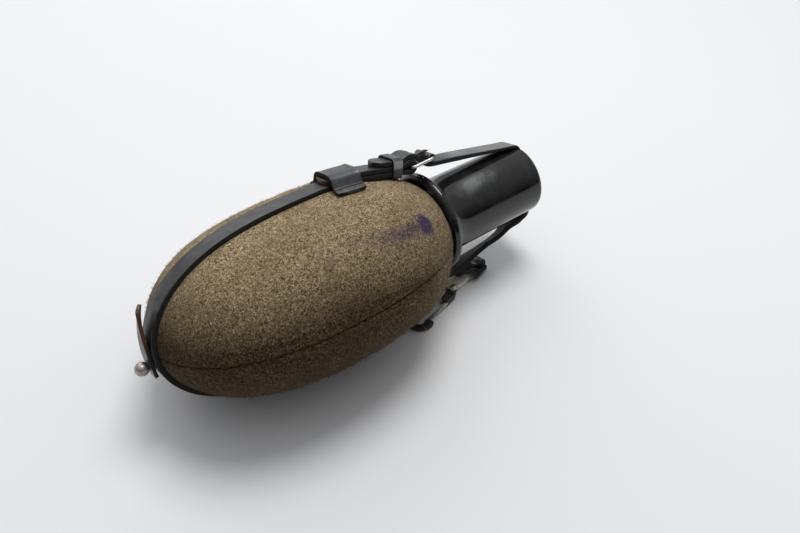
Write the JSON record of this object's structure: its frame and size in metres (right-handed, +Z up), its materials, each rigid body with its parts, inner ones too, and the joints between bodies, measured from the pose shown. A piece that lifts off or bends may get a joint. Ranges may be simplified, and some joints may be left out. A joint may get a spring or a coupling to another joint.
{
  "type": "field canteen",
  "caption": "Felt-covered flat flask lying on its strap, with a screw cap under a flared cup, a buckled leather harness, a ball stud and a sprung snap hook.",
  "frame": {"origin": "on the floor under the middle of the bounding box", "axes": "+X along the flask from its base to the cup, +Z up, the buckle side rolled about 20 degrees towards +Y as the canteen lies"},
  "size_m": [0.2626, 0.1262, 0.101],
  "materials": {
    "felt": "matt wool felt, olive brown, worn",
    "leather": "black strap leather, worn to grey, brown at cut edges",
    "steel": "worn plated steel",
    "black_steel": "black enamel, worn",
    "brass": "dull brass",
    "aluminium": "dull drawn aluminium",
    "cup": "glossy black moulding",
    "rubber": "red-brown seal rubber"
  },
  "bodies": {
    "flask": {"flask": "aluminium", "felt_front": "felt", "felt_back": "felt", "cover_snap_1": "black_steel", "cover_snap_2": "black_steel", "cover_snap_3": "black_steel", "cover_snap_4": "black_steel", "harness_strap": "leather", "cup_strap": "leather", "felt_keeper": "leather", "buckle_keeper": "leather", "base_stud": "steel", "loop_rivet": "black_steel", "hook_loop": "leather"},
    "cup": {"cup": "cup"},
    "seal": {"cap_seal": "rubber"},
    "cap": {"screw_cap": "aluminium"},
    "buckle": {"buckle_frame": "steel"},
    "roller": {"buckle_roller": "steel"},
    "prong": {"buckle_prong": "steel"},
    "tab": {"stud_tab": "leather"},
    "hook": {"snap_hook": "steel", "gate_rivet": "brass", "gate_spring": "steel"},
    "gate": {"hook_gate": "black_steel"}
  },
  "joints": [
    {"name": "cup_lift", "type": "slide", "parent": "flask", "child": "cup", "axis": [1, 0, 0], "range_m": [0, 0.06], "deforming": ["cup_strap"]},
    {"name": "cap_lift", "type": "slide", "parent": "flask", "child": "seal", "axis": [1, 0, 0], "range_m": [0, 0.008]},
    {"name": "cap_turn", "type": "hinge", "parent": "seal", "child": "cap", "pos_m": [-0.11867, -0.00156, 0.04837], "axis": [1, 0, 0], "range_deg": [0, 725]},
    {"name": "frame_tilt", "type": "hinge", "parent": "flask", "child": "buckle", "pos_m": [0.0491, 0.0119, 0.08542], "axis": [0, -0.9399, 0.3415], "range_deg": [0, 8], "deforming": ["cup_strap"]},
    {"name": "prong_lift", "type": "hinge", "parent": "buckle", "child": "prong", "pos_m": [0.0491, 0.0119, 0.08542], "axis": [0, -0.9399, 0.3415], "range_deg": [0, 8], "deforming": ["cup_strap"]},
    {"name": "roller_spin", "type": "hinge", "parent": "buckle", "child": "roller", "pos_m": [0.0636, 0.01201, 0.08573], "axis": [0, 0.9399, -0.3415], "continuous": true},
    {"name": "tab_swivel", "type": "hinge", "parent": "flask", "child": "tab", "pos_m": [-0.11867, -0.00293, 0.04461], "axis": [1, 0, 0], "range_deg": [-75, 75]},
    {"name": "hook_swing", "type": "hinge", "parent": "flask", "child": "hook", "pos_m": [0.09023, -0.01246, 0.0046], "axis": [-0.2672, 0.9636, 0], "range_deg": [0, 4]},
    {"name": "gate_open", "type": "hinge", "parent": "hook", "child": "gate", "pos_m": [0.06415, -0.02125, 0.00354], "axis": [0.037, 0.0103, -0.9993], "range_deg": [0, 14], "stiffness_Nm_per_rad": 0.01, "springref_deg": -14.32, "deforming": ["gate_spring"]}
  ],
  "couplings": [
    {"joint": "cap_turn", "follows": "cap_lift", "rad_per_m": 1570.8}
  ]
}
